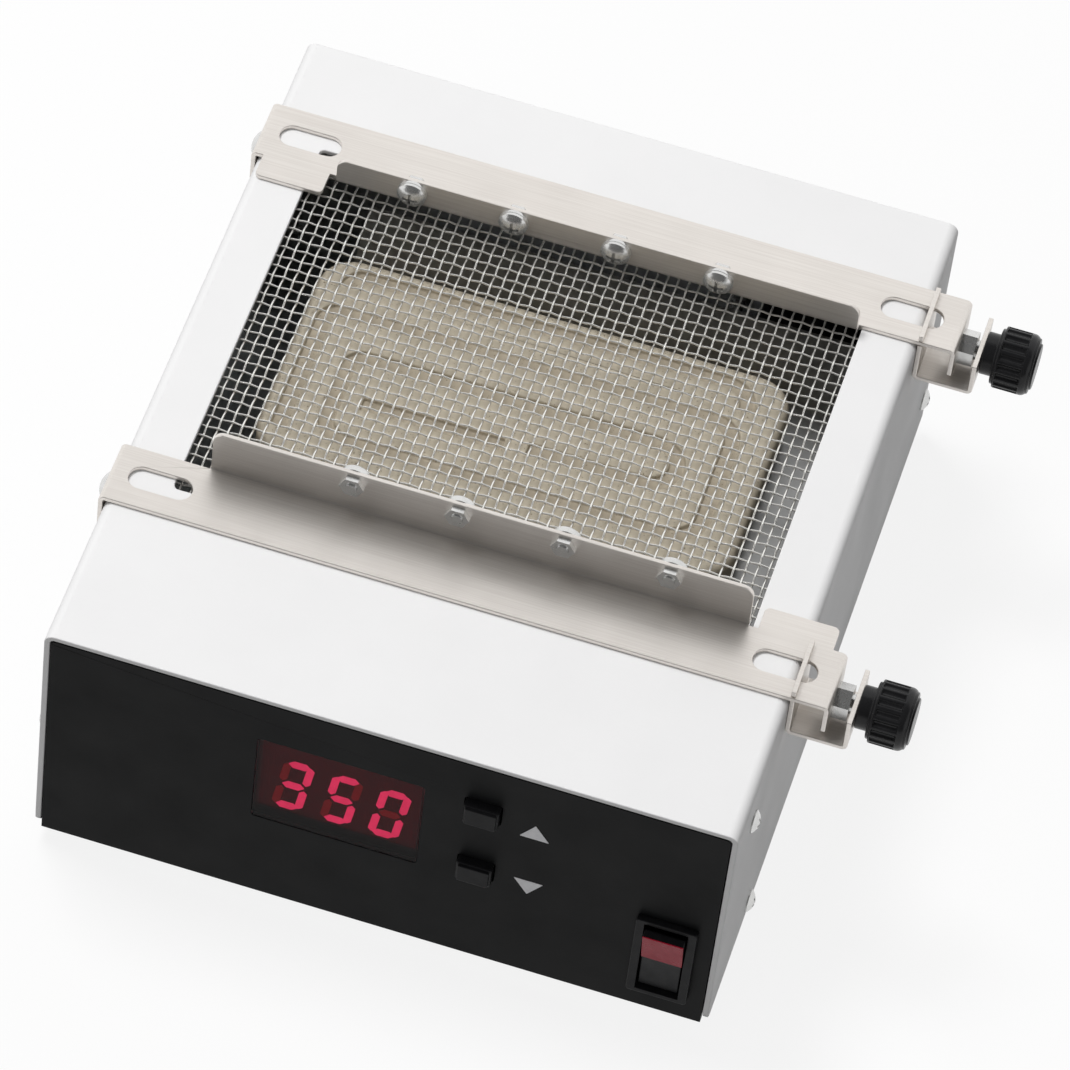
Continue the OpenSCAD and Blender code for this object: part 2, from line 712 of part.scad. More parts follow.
module shield_screws() {
    color("#c9c9c4") for (s = [-1, 1]) translate([shield_screw_x * s, shield_y + 7, floor_z + chassis_t])
        pan_screw(1.45, 2.8, 1.7, 2 * chassis_t + 2);
}

module control_board() {
    color("#1f6a3a") upright(board_y, board_t) difference() {
        translate([board_left, board_low]) square([board_right - board_left, board_high - board_low]);
        for (p = board_holes) translate(p) circle(1.6);
    }
}

module board_standoffs() {
    color("#c8a24a") for (p = board_holes) translate([p[0], wall_back_y, p[1]]) rotate([-90, 0, 0]) {
        hex_nut(5.5, board_y - wall_back_y, 1.55);
        translate([0, 0, -chassis_t]) cylinder(r = 1.45, h = chassis_t + 3);
        translate([0, 0, 2]) cylinder(r = 1.6, h = 1);
    }
}

module board_screws() {
    color("#c9c9c4") for (p = board_holes) translate([p[0], board_y + board_t, p[1]]) rotate([-90, 0, 0])
        pan_screw(1.5, 2.8, 1.7, board_t + 4);
}

module display_module() {
    color("#2a1012") translate([-window_x, display_y, base_z + window_z]) {
        translate([-window_w / 2 + 1, 0, -window_h / 2 + 2]) cube([window_w - 2, display_d, window_h - 4]);
    }
}

module display_window() {
    color("#3a0a0c") translate([-window_x, 0, base_z + window_z]) {
        upright(front_y + 0.15, panel_t - 0.15) rounded(window_w, window_h, 0.9);
        upright(wall_y, 1) rounded(window_w + 4, window_h + 4, 0.9);
    }
}

module button_switches() {
    color("#303030") for (z = [button_up_z, button_down_z])
        translate([button_x - 3, switch_body_y, base_z + z - 3]) cube([6, board_y - switch_body_y, 6]);
}

module button_cap(z) {
    color("#191919") translate([button_x, 0, base_z + z]) {
        upright(front_y - button_out + 0.8, wall_y + 0.2 - front_y + button_out - 0.8)
            rounded(button_w, button_h, 0.6);
        upright(front_y - button_out, 0.9) rounded(button_w - 1, button_h - 1, 0.5);
        upright(wall_y + 0.15, 0.9) rounded(button_w + 2, button_h + 2, 0.6);
        translate([0, wall_y + 0.5, 0]) rotate([-90, 0, 0]) cylinder(r = 2, h = button_end_y - wall_y - 0.5);
    }
}

module up_button() { button_cap(button_up_z); }

module down_button() { button_cap(button_down_z); }

module switch_housing() {
    color("#1b1b1c") translate([switch_x, 0, base_z + switch_z]) difference() {
        union() {
            upright(front_y - bezel_out, bezel_out) rounded(bezel_w, bezel_h, 1);
            upright(front_y - 0.5, 22) square([bezel_w - 2.2, bezel_h - 1.6], center = true);
            for (z = [-7, 7]) translate([-3.1, front_y + 21, z - 0.4]) cube([6.2, 9, 0.8]);
        }
        upright(front_y - bezel_out - 1, bezel_out + 13) square([bezel_open_w, bezel_open_h], center = true);
        translate([0, rocker_y, 0]) rotate([0, 90, 0])
            cylinder(r = 1.25, h = bezel_open_w + 1.4, center = true);
    }
}

module power_rocker() {
    face = rocker_half * tan(rocker_dish);
    color("#b3161c") translate([switch_x, rocker_y, base_z + switch_z]) rotate([rocker_tilt, 0, 0]) {
        translate([-bezel_open_w / 2 + 0.3, 0, 0]) along_x(0, bezel_open_w - 0.6)
            polygon([[-3.2, 0], [-3.2 - face, rocker_half], [-2.4, rocker_half + 0.5], [3.2, 5], [3.2, -5],
                     [-2.4, -rocker_half - 0.5], [-3.2 - face, -rocker_half]]);
        rotate([0, 90, 0]) cylinder(r = 1.2, h = bezel_open_w + 1, center = true);
    }
}

module transformer() {
    color("#2f3036") translate([board_left + 7, board_y + board_t, base_z + 24]) {
        cube([transformer_w, 4, transformer_h]);
        translate([4, 3.5, 3]) cube([transformer_w - 8, transformer_d - 3.5, transformer_h - 6]);
        translate([1, 7, 0]) cube([transformer_w - 2, transformer_d / 2, transformer_h]);
    }
}

module heat_sink() {
    color("#9a9da0") translate([button_x - 1.6, board_y + board_t, base_z + 20]) {
        cube([3, sink_d, sink_h]);
        for (i = [0:4]) translate([2.5, i * (sink_d - 1.6) / 4, 0]) cube([14, 1.6, sink_h]);
    }
}

module triac() {
    color("#202022") translate([button_x - 1.6, board_y + board_t, base_z + sink_h + 4]) {
        translate([-4.5, 4, 0]) cube([4.5, 10, 10]);
        translate([-1.3, 13.9, 0.3]) cube([1.3, 3.8, 9.4]);
        for (z = [2.4, 5, 7.6]) translate([-3, 0, z - 0.4]) cube([0.8, 4.2, 0.8]);
    }
}

module mains_inlet() {
    color("#1b1b1c") translate([inlet_x, 0, inlet_z]) difference() {
        union() {
            upright(rear_wall_y, 3) slot(inlet_pitch + 10, inlet_h + 2.8);
            upright(rear_wall_y - 19, 20) rounded(inlet_w, inlet_h, 1.8);
        }
        upright(rear_wall_y - 13, 17) rounded(inlet_w - 3, inlet_h - 3.2, 1.5);
        upright(rear_wall_y - 20, 10) for (p = [[-7, -1.5], [7, -1.5], [0, 2.5]])
            translate(p) square([2.04, 4.04], center = true);
        for (s = [-1, 1]) translate([inlet_pitch / 2 * s, rear_wall_y, 0]) rotate([-90, 0, 0]) {
            translate([0, 0, -1]) cylinder(r = 1.7, h = 6);
            translate([0, 0, 1.2]) cylinder(r = 3, h = 4);
        }
    }
}

module inlet_pins() {
    color("#c8a24a") translate([inlet_x, 0, inlet_z]) upright(rear_wall_y - 27, 27)
        for (p = [[-7, -1.5], [7, -1.5], [0, 2.5]]) translate(p) square([2, 4], center = true);
}

module inlet_screws() {
    color("#c9c9c4") for (s = [-1, 1])
        translate([inlet_x + inlet_pitch / 2 * s, rear_wall_y + 1.2, inlet_z]) rotate([-90, 0, 0])
        pan_screw(1.5, 2.8, 1.6, chassis_t + 5.5);
}

module inlet_nuts() {
    color("#c9c9c4") for (s = [-1, 1])
        translate([inlet_x + inlet_pitch / 2 * s, rear_wall_y - chassis_t, inlet_z]) rotate([90, 0, 0])
        hex_nut(5.5, 2.4, 1.55);
}

module earth_stud() {
    color("#c8a24a") translate([inlet_x - 8, back_y - 42, floor_z]) {
        translate([0, 0, -chassis_t]) cylinder(r = 2, h = chassis_t + 14);
        cylinder(d = 7 / cos(30), h = 3.2, $fn = 6);
        translate([0, 0, 3.2]) cylinder(r = 4.2, h = 0.8);
        translate([0, 0, 4]) cylinder(d = 7 / cos(30), h = 3.2, $fn = 6);
    }
}

// One rail in its own frame: outer edge on the X axis, flange towards +Y, strip on the XY plane
module rail(tab_side, first, flange_h) {
    tab_x0 = tab_side > 0 ? tab_in : left_leg_x + rail_bend + 1.5;
    tab_x1 = tab_side > 0 ? tab_out : -flange_left - 2;
    difference() {
        union() {
            along_x(-flange_left, flange_left + flange_right)
                l_section(rail_w, flange_h + rail_t, rail_t, rail_bend);
            translate([-flange_left - 12, 0, 0])
                cube([flange_left + flange_right + 24, rail_w - rail_bend, rail_t]);
            translate([0, leg_w, rail_t]) mirror([0, 0, 1]) rotate([90, 0, 0]) linear_extrude(leg_w)
                translate([flange_right, 0]) l_section(right_leg_x - flange_right,
                                                       strip_top - right_leg_low, rail_t, rail_bend);
            translate([0, leg_w, rail_t]) mirror([1, 0, 0]) mirror([0, 0, 1]) rotate([90, 0, 0])
                linear_extrude(leg_w) translate([flange_left, 0])
                    l_section(-left_leg_x - flange_left, left_leg, rail_t, rail_bend);
            translate([tab_x0, 4, 0]) cube([tab_x1 - tab_x0, rail_w + tab_reach - 5.5, rail_t]);
            translate([tab_x0 + 1.5, 4, 0]) cube([tab_x1 - tab_x0 - 3, rail_w + tab_reach - 4, rail_t]);
            for (x = [tab_x0 + 1.5, tab_x1 - 1.5]) translate([x, rail_w + tab_reach - 1.5, 0])
                cylinder(r = 1.5, h = rail_t);
        }
        translate([slot_right - slot_l / 2, slot_at, -1]) linear_extrude(rail_t + 2) slot(slot_l, slot_w);
        translate([slot_left - slot_l / 2, slot_at, -1]) linear_extrude(rail_t + 2) slot(slot_l, slot_w);
        translate([0, slot_at, axis_z - strip_z]) rotate([0, 90, 0]) {
            translate([0, 0, side_x + 2]) cylinder(r = stud_r + 0.3, h = 20);
            translate([0, 0, left_leg_x - 5]) cylinder(r = 2.05, h = 10);
        }
        at_supports(first, flange_h, rail_w - 5) cylinder(r = support_r + 0.15, h = 10);
        flange_corner(-flange_left, 1, flange_h);
        flange_corner(flange_right, -1, flange_h);
        leg_corners(right_leg_x - 4, right_leg_low - strip_z);
        leg_corners(left_leg_x - 4, rail_t - left_leg);
    }
}

// Rounds an upper end corner of a flange
module flange_corner(x, s, flange_h) {
    translate([x, rail_w + 1, rail_t + flange_h]) rotate([90, 0, 0]) linear_extrude(4) difference() {
        translate([s > 0 ? -1 : -3, -3]) square(4);
        translate([s * 3, -3]) circle(3);
    }
}

// Cuts the two lower corners of a leg
module leg_corners(x, z) {
    cut = 2.5;
    translate([0, 0, z]) along_x(x, 8) {
        polygon([[-1, -1], [cut, -1], [cut, 0], [0, cut], [-1, cut]]);
        translate([leg_w, 0]) mirror([1, 0]) polygon([[-1, -1], [cut, -1], [cut, 0], [0, cut], [-1, cut]]);
    }
}

// Places a rail part at the front, or mirrored at the rear
module at_front() {
    translate([0, front_rail_y, strip_z]) children();
}

module at_rear() {
    translate([0, rear_rail_y, strip_z]) mirror([0, 1, 0]) children();
}

// Places a part on each support screw's axis, growing towards the board from the given distance
module at_supports(first, flange_h, y) {
    z = rail_t + flange_h - support_drop;
    for (i = [0:3]) translate([-first + i * support_pitch, y, z]) rotate([-90, 0, 0]) children();
}

module support_screws(first, flange_h) {
    at_supports(first, flange_h, rail_w + support_washer_t)
        pan_screw(support_r, support_head_r, 2.6, rail_t + support_washer_t + support_nut_h + 0.4);
}

module support_washers(first, flange_h) {
    at_supports(first, flange_h, rail_w) difference() {
        cylinder(r = support_head_r + 0.1, h = support_washer_t);
        translate([0, 0, -1]) cylinder(r = support_r + 0.1, h = 3);
    }
}

module support_nuts(first, flange_h) {
    at_supports(first, flange_h, rail_w - rail_t - support_nut_h)
        hex_nut(5.5, support_nut_h, support_r + 0.05);
}

module stop_screw() {
    translate([left_leg_x, slot_at, axis_z - strip_z]) rotate([0, -90, 0]) {
        pan_screw(2, 4, 2.3, rail_t);
    }
}

module clamp_nut() {
    translate([right_leg_x, slot_at, axis_z - strip_z]) rotate([0, 90, 0])
        hex_nut(nut_af, nut_h, stud_r + stud_gap);
}

// Clamp bracket in the rail's frame: inner leg with neck and head, web, outer leg
module clamp_bracket() {
    leg_top = -0.3;
    difference() {
        translate([0, slot_at, 0]) {
            translate([0, clamp_w / 2, 0]) rotate([90, 0, 0]) linear_extrude(clamp_w) {
                translate([(clamp_x + arm_x) / 2, web_z - strip_z])
                    l_section(arm_x + rail_t - (clamp_x + arm_x) / 2, arm_top - web_z, rail_t, rail_bend);
                translate([(clamp_x + arm_x) / 2, web_z - strip_z]) mirror([1, 0])
                    l_section((clamp_x + arm_x) / 2 - clamp_x, leg_top - web_z + strip_z, rail_t, rail_bend);
            }
            translate([clamp_x, -neck_w / 2, leg_top - 1])
                cube([rail_t, neck_w, rail_t + 0.3 - leg_top + 1.5]);
            translate([clamp_x, -clamp_w / 2, rail_t + 0.3]) cube([rail_t, clamp_w, head_rise - 0.3]);
        }
        translate([arm_x - 1, slot_at, axis_z - strip_z]) rotate([0, 90, 0])
            cylinder(r = stud_r + stud_gap, h = rail_t + 2);
    }
}

module knob() {
    round_end = 2;
    translate([hub_x, slot_at, axis_z - strip_z]) rotate([0, 90, 0]) difference() {
        rotate_extrude() {
            square([hub_r, hub_l + 1]);
            translate([0, hub_l]) square([knob_d / 2 - 0.8, knob_l]);
            translate([0, hub_l + 0.8]) square([knob_d / 2, knob_l - 0.8 - round_end]);
            translate([knob_d / 2 - round_end, hub_l + knob_l - round_end]) circle(round_end);
            translate([0, hub_l + knob_l - 1]) square([knob_d / 2 - round_end, 1.6]);
        }
        for (i = [0:knob_ribs - 1]) rotate(i * 360 / knob_ribs) translate([knob_d / 2 + 0.25, 0, hub_l + 1.4])
            cylinder(r = 0.95, h = knob_grip);
        translate([0, 0, -1]) cylinder(r = stud_r + 0.02, h = 9);
    }
}

module knob_stud() {
    translate([right_leg_x - rail_t - 3.2, slot_at, axis_z - strip_z]) rotate([0, 90, 0])
        cylinder(r = stud_r, h = hub_x + 7.5 - right_leg_x + rail_t + 3.2);
}

module front_rail() { color("#c3c0b8") at_front() rail(1, front_support, front_flange_h); }

module front_rail_screws() { color("#d0cfca") at_front() support_screws(front_support, front_flange_h); }

module front_rail_washers() { color("#bdbcb8") at_front() support_washers(front_support, front_flange_h); }

module front_rail_nuts() { color("#c9c9c4") at_front() support_nuts(front_support, front_flange_h); }

module front_stop_screw() { color("#d0cfca") at_front() stop_screw(); }

module front_clamp_nut() { color("#c9c9c4") at_front() clamp_nut(); }

module front_clamp_bracket() { color("#c3c0b8") at_front() clamp_bracket(); }

module front_knob() { color("#1a1a1a") at_front() knob(); }

module front_knob_stud() { color("#d0cfca") at_front() knob_stud(); }

module rear_rail() { color("#c3c0b8") at_rear() rail(-1, rear_support, rear_flange_h); }

module rear_rail_screws() { color("#d0cfca") at_rear() support_screws(rear_support, rear_flange_h); }

module rear_rail_washers() { color("#bdbcb8") at_rear() support_washers(rear_support, rear_flange_h); }

module rear_rail_nuts() { color("#c9c9c4") at_rear() support_nuts(rear_support, rear_flange_h); }

module rear_stop_screw() { color("#d0cfca") at_rear() stop_screw(); }

module rear_clamp_nut() { color("#c9c9c4") at_rear() clamp_nut(); }

module rear_clamp_bracket() { color("#c3c0b8") at_rear() clamp_bracket(); }

module rear_knob() { color("#1a1a1a") at_rear() knob(); }

module rear_knob_stud() { color("#d0cfca") at_rear() knob_stud(); }

cover();
cover_screws();
front_panel();
panel_nuts();
chassis();
rubber_feet();
foot_screws();
foot_nuts();
wire_mesh();
mesh_frame();
mesh_frame_nuts();
ceramic_heater();
reflector();
reflector_screws();
heater_clip();
heater_leads();
terminal_block();
terminal_screws();
thermocouple();
heat_shield();
shield_screws();
control_board();
board_standoffs();
board_screws();
display_module();
display_window();
button_switches();
up_button();
down_button();
switch_housing();
power_rocker();
transformer();
heat_sink();
triac();
mains_inlet();
inlet_pins();
inlet_screws();
inlet_nuts();
earth_stud();
front_rail();
front_rail_screws();
front_rail_washers();
front_rail_nuts();
front_stop_screw();
front_clamp_nut();
front_clamp_bracket();
front_knob();
front_knob_stud();
rear_rail();
rear_rail_screws();
rear_rail_washers();
rear_rail_nuts();
rear_stop_screw();
rear_clamp_nut();
rear_clamp_bracket();
rear_knob();
rear_knob_stud();
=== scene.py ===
import bpy
import json
from math import radians, tan
from mathutils import Matrix, Vector

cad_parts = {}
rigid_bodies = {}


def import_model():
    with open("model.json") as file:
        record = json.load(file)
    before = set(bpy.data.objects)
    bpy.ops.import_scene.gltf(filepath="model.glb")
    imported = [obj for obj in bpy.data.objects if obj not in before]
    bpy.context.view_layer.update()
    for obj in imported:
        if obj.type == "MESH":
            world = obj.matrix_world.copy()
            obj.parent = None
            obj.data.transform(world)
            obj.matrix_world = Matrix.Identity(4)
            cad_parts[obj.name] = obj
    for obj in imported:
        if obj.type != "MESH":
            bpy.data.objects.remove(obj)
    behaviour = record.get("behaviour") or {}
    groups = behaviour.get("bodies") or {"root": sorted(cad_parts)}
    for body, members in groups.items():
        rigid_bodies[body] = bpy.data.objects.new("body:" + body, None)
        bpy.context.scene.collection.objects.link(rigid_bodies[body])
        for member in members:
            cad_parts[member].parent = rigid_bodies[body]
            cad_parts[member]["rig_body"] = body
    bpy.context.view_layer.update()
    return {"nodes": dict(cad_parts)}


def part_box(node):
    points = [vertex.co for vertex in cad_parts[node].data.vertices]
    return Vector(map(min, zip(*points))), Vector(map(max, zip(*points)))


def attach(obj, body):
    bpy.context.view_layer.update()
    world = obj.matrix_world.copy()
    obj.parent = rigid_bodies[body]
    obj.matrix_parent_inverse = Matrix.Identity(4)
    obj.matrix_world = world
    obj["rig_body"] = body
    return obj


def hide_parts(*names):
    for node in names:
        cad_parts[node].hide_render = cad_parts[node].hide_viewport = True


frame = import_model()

# Camera: a long lens above the front right corner, as in the photograph.
# It looks down at about 51 degrees and is rolled a little, so the unit stands askew in the frame.
camera_at = Vector((0.2291, -1.1434, 1.5007))
camera_forward = Vector((-0.1181, 0.6126, -0.7815)).normalized()
camera_right = Vector((0.9535, 0.2898, 0.0831))
camera_right = (camera_right - camera_right.dot(camera_forward) * camera_forward).normalized()
camera_up = camera_right.cross(camera_forward)
bpy.ops.object.select_all(action="DESELECT")
bpy.ops.object.camera_add()
camera = bpy.context.object
camera.matrix_world = Matrix((
    (camera_right.x, camera_up.x, -camera_forward.x, camera_at.x),
    (camera_right.y, camera_up.y, -camera_forward.y, camera_at.y),
    (camera_right.z, camera_up.z, -camera_forward.z, camera_at.z),
    (0, 0, 0, 1)))
camera.data.lens = 249.1
camera.data.sensor_width = 36
bpy.context.scene.camera = camera

# Studio: a white sweep, an even white sky, a soft lamp above and left of the unit, a weak fill from the front left,
# and two black cards, overhead and in front, that only gloss sees, so metal has something dark to show.
bpy.context.scene.view_settings.view_transform = "Standard"


def seen_directly(nodes, links):
    """1 for rays from the camera, from gloss or through glass, and 0 for the light that falls on things."""
    path = nodes.new("ShaderNodeLightPath")
    seen = path.outputs["Is Camera Ray"]
    for ray in ("Is Glossy Ray", "Is Transmission Ray"):
        either = nodes.new("ShaderNodeMath")
        either.operation = "MAXIMUM"
        links.new(seen, either.inputs[0])
        links.new(path.outputs[ray], either.inputs[1])
        seen = either.outputs[0]
    return seen


sky = bpy.data.worlds.new("studio_sky")
bpy.context.scene.world = sky
sky.use_nodes = True
sky_nodes, sky_links = sky.node_tree.nodes, sky.node_tree.links
sky_light = sky_nodes["Background"]
sky_light.inputs["Color"].default_value = (1, 1, 1, 1)
sky_level = sky_nodes.new("ShaderNodeMapRange")
sky_level.inputs["To Min"].default_value = 0.36
sky_level.inputs["To Max"].default_value = 1.0
sky_links.new(seen_directly(sky_nodes, sky_links), sky_level.inputs["Value"])
sky_links.new(sky_level.outputs["Result"], sky_light.inputs["Strength"])

# Width, length, power, direction and distance of each lamp
lamps = {"soft_lamp": (0.8, 0.6, 30, (-0.32, 0.15, 0.93), 2.2),
         "fill_lamp": (1.2, 1.2, 4, (-0.50, -0.78, 0.38), 2.4)}
for lamp_name, (lamp_wide, lamp_long, lamp_power, lamp_from, lamp_away) in lamps.items():
    bpy.ops.object.select_all(action="DESELECT")
    bpy.ops.object.light_add(type="AREA")
    lamp = bpy.context.object
    lamp.name = lamp_name
    lamp.data.shape = "RECTANGLE"
    lamp.data.size, lamp.data.size_y = lamp_wide, lamp_long
    lamp.data.energy = lamp_power
    lamp.visible_glossy = False
    lamp_way = Vector(lamp_from).normalized()
    lamp_turn = lamp_way.to_track_quat("Z", "Y").to_matrix().to_4x4()
    lamp.matrix_world = Matrix.Translation(lamp_way * lamp_away) @ lamp_turn

bpy.ops.object.select_all(action="DESELECT")
bpy.ops.mesh.primitive_plane_add(size=14)
floor = bpy.context.object
floor.name = "studio_floor"
floor_white = bpy.data.materials.new("floor_white")
floor_white.use_nodes = True
floor_nodes, floor_links = floor_white.node_tree.nodes, floor_white.node_tree.links
floor_paper = floor_nodes["Principled BSDF"]
floor_paper.inputs["Roughness"].default_value = 0.9
floor_glow = floor_nodes.new("ShaderNodeEmission")
floor_seen = seen_directly(floor_nodes, floor_links)
floor_tint = floor_nodes.new("ShaderNodeMix")
floor_tint.data_type = "RGBA"
floor_tint.inputs["A"].default_value = (0.20, 0.20, 0.20, 1)
floor_tint.inputs["B"].default_value = (0.95, 0.95, 0.95, 1)
floor_links.new(floor_seen, floor_tint.inputs["Factor"])
floor_links.new(floor_tint.outputs["Result"], floor_paper.inputs["Base Color"])
floor_share = floor_nodes.new("ShaderNodeMath")
floor_share.operation = "MULTIPLY"
floor_share.inputs[1].default_value = 0.84
floor_links.new(floor_seen, floor_share.inputs[0])
floor_mix = floor_nodes.new("ShaderNodeMixShader")
floor_links.new(floor_share.outputs[0], floor_mix.inputs["Fac"])
floor_links.new(floor_paper.outputs[0], floor_mix.inputs[1])
floor_links.new(floor_glow.outputs[0], floor_mix.inputs[2])
floor_links.new(floor_mix.outputs[0], floor_nodes["Material Output"].inputs["Surface"])
floor.data.materials.append(floor_white)

card_black = bpy.data.materials.new("card_black")
card_black.use_nodes = True
card_shader = card_black.node_tree.nodes["Principled BSDF"]
card_shader.inputs["Base Color"].default_value = (0.02, 0.02, 0.02, 1)
card_shader.inputs["Roughness"].default_value = 0.9
# Middle, tilt, width and length of each card
cards = {"card_above": ((0, -1.70, 2.6), 0, 9.0, 5.0),
         "card_in_front": ((0, -4.2, 1.4), 90, 9.0, 2.4)}
for card_name, (card_middle, card_tilt, card_wide, card_long) in cards.items():
    bpy.ops.object.select_all(action="DESELECT")
    bpy.ops.mesh.primitive_plane_add(size=1.0)
    black_card = bpy.context.object
    black_card.name = card_name
    card_turn = Matrix.Rotation(radians(card_tilt), 4, "X")
    card_size = Matrix.Diagonal((card_wide, card_long, 1, 1))
    black_card.matrix_world = Matrix.Translation(card_middle) @ card_turn @ card_size
    black_card.data.materials.append(card_black)
    black_card.visible_camera = False
    black_card.visible_diffuse = False
    black_card.visible_transmission = False
    black_card.visible_shadow = False

# Chassis: a tray of galvanised steel sheet with folded walls, on four rubber feet held by screws and nuts.
# Frame, shield and clip are of the same sheet. The zinc shows as cloudy patches with a dull gloss.


def shader_group(name, inputs, outputs):
    group = bpy.data.node_groups.new(name, "ShaderNodeTree")
    for label, kind, value in inputs:
        group.interface.new_socket(label, in_out="INPUT", socket_type=kind).default_value = value
    for label, kind in outputs:
        group.interface.new_socket(label, in_out="OUTPUT", socket_type=kind)
    start = group.nodes.new("NodeGroupInput")
    end = group.nodes.new("NodeGroupOutput")
    place = group.nodes.new("ShaderNodeTexCoord")
    return group, start, end, place


# Clouds of lighter and darker metal or paint, in patches per metre
clouds, start, end, place = shader_group(
    "clouds", [("Scale", "NodeSocketFloat", 100.0), ("Detail", "NodeSocketFloat", 4.0)],
    [("Mask", "NodeSocketFloat")])
cloud_noise = clouds.nodes.new("ShaderNodeTexNoise")
clouds.links.new(place.outputs["Object"], cloud_noise.inputs["Vector"])
clouds.links.new(start.outputs["Scale"], cloud_noise.inputs["Scale"])
clouds.links.new(start.outputs["Detail"], cloud_noise.inputs["Detail"])
cloud_range = clouds.nodes.new("ShaderNodeMapRange")
cloud_range.inputs["From Min"].default_value = 0.3
cloud_range.inputs["From Max"].default_value = 0.7
clouds.links.new(cloud_noise.outputs["Fac"], cloud_range.inputs["Value"])
clouds.links.new(cloud_range.outputs["Result"], end.inputs["Mask"])

# Fine unevenness of a coated or moulded surface
pebble, start, end, place = shader_group(
    "pebble", [("Scale", "NodeSocketFloat", 1000.0), ("Strength", "NodeSocketFloat", 0.1)],
    [("Normal", "NodeSocketVector")])
pebble_noise = pebble.nodes.new("ShaderNodeTexNoise")
pebble_noise.inputs["Detail"].default_value = 2.0
pebble_bump = pebble.nodes.new("ShaderNodeBump")
pebble_bump.inputs["Distance"].default_value = 0.0002
pebble.links.new(place.outputs["Object"], pebble_noise.inputs["Vector"])
pebble.links.new(start.outputs["Scale"], pebble_noise.inputs["Scale"])
pebble.links.new(start.outputs["Strength"], pebble_bump.inputs["Strength"])
pebble.links.new(pebble_noise.outputs["Fac"], pebble_bump.inputs["Height"])
pebble.links.new(pebble_bump.outputs["Normal"], end.inputs["Normal"])


def clouded_finish(name, light, dark, rough, metallic, cloud_scale, pebble_scale, pebble_strength, specular=0.5):
    """A paint, plastic or sheet whose colour and gloss drift between two values."""
    made = bpy.data.materials.new(name)
    made.use_nodes = True
    nodes, links = made.node_tree.nodes, made.node_tree.links
    shader = nodes["Principled BSDF"]
    shader.inputs["Metallic"].default_value = metallic
    shader.inputs["Specular IOR Level"].default_value = specular
    patches = nodes.new("ShaderNodeGroup")
    patches.node_tree = clouds
    patches.inputs["Scale"].default_value = cloud_scale
    tint = nodes.new("ShaderNodeMix")
    tint.data_type = "RGBA"
    tint.inputs["A"].default_value = (*dark, 1)
    tint.inputs["B"].default_value = (*light, 1)
    links.new(patches.outputs["Mask"], tint.inputs["Factor"])
    links.new(tint.outputs["Result"], shader.inputs["Base Color"])
    gloss = nodes.new("ShaderNodeMapRange")
    gloss.inputs["To Min"].default_value = rough[1]
    gloss.inputs["To Max"].default_value = rough[0]
    links.new(patches.outputs["Mask"], gloss.inputs["Value"])
    links.new(gloss.outputs["Result"], shader.inputs["Roughness"])
    relief = nodes.new("ShaderNodeGroup")
    relief.node_tree = pebble
    relief.inputs["Scale"].default_value = pebble_scale
    relief.inputs["Strength"].default_value = pebble_strength
    links.new(relief.outputs["Normal"], shader.inputs["Normal"])
    return made


def dress(finish, *names):
    for name in names:
        node = frame["nodes"][name]
        if not node.material_slots:
            node.data.materials.append(finish)
        for place_for in node.material_slots:
            place_for.material = finish


galvanised = clouded_finish(
    "galvanised", (0.60, 0.61, 0.61), (0.46, 0.47, 0.48), rough=(0.30, 0.44), metallic=1.0,
    cloud_scale=160, pebble_scale=900, pebble_strength=0.08)
dress(galvanised, "chassis", "mesh_frame", "heat_shield", "heater_clip")
foot_rubber = clouded_finish(
    "foot_rubber", (0.032, 0.032, 0.033), (0.018, 0.018, 0.019), rough=(0.70, 0.85), metallic=0.0,
    cloud_scale=300, pebble_scale=1500, pebble_strength=0.2)
dress(foot_rubber, "rubber_feet")
zinc_plate = clouded_finish(
    "zinc_plate", (0.78, 0.78, 0.77), (0.70, 0.70, 0.69), rough=(0.20, 0.30), metallic=0.8,
    cloud_scale=300, pebble_scale=2500, pebble_strength=0.04)
dress(zinc_plate, "foot_screws", "foot_nuts", "panel_nuts", "mesh_frame_nuts", "shield_screws")

# Mains inlet: a moulded black insert with brass pins, held by two screws and nuts in the rear wall.
# The brass earth stud stands on the chassis floor beside it.
inlet_black = clouded_finish(
    "inlet_black", (0.030, 0.030, 0.032), (0.020, 0.020, 0.021), rough=(0.38, 0.50), metallic=0.0,
    cloud_scale=250, pebble_scale=2200, pebble_strength=0.10)
dress(inlet_black, "mains_inlet")
pin_brass = clouded_finish(
    "pin_brass", (0.80, 0.63, 0.31), (0.66, 0.50, 0.23), rough=(0.22, 0.36), metallic=1.0,
    cloud_scale=350, pebble_scale=2000, pebble_strength=0.05)
dress(pin_brass, "inlet_pins", "earth_stud", "terminal_screws", "board_standoffs")
dress(zinc_plate, "inlet_screws", "inlet_nuts", "board_screws")

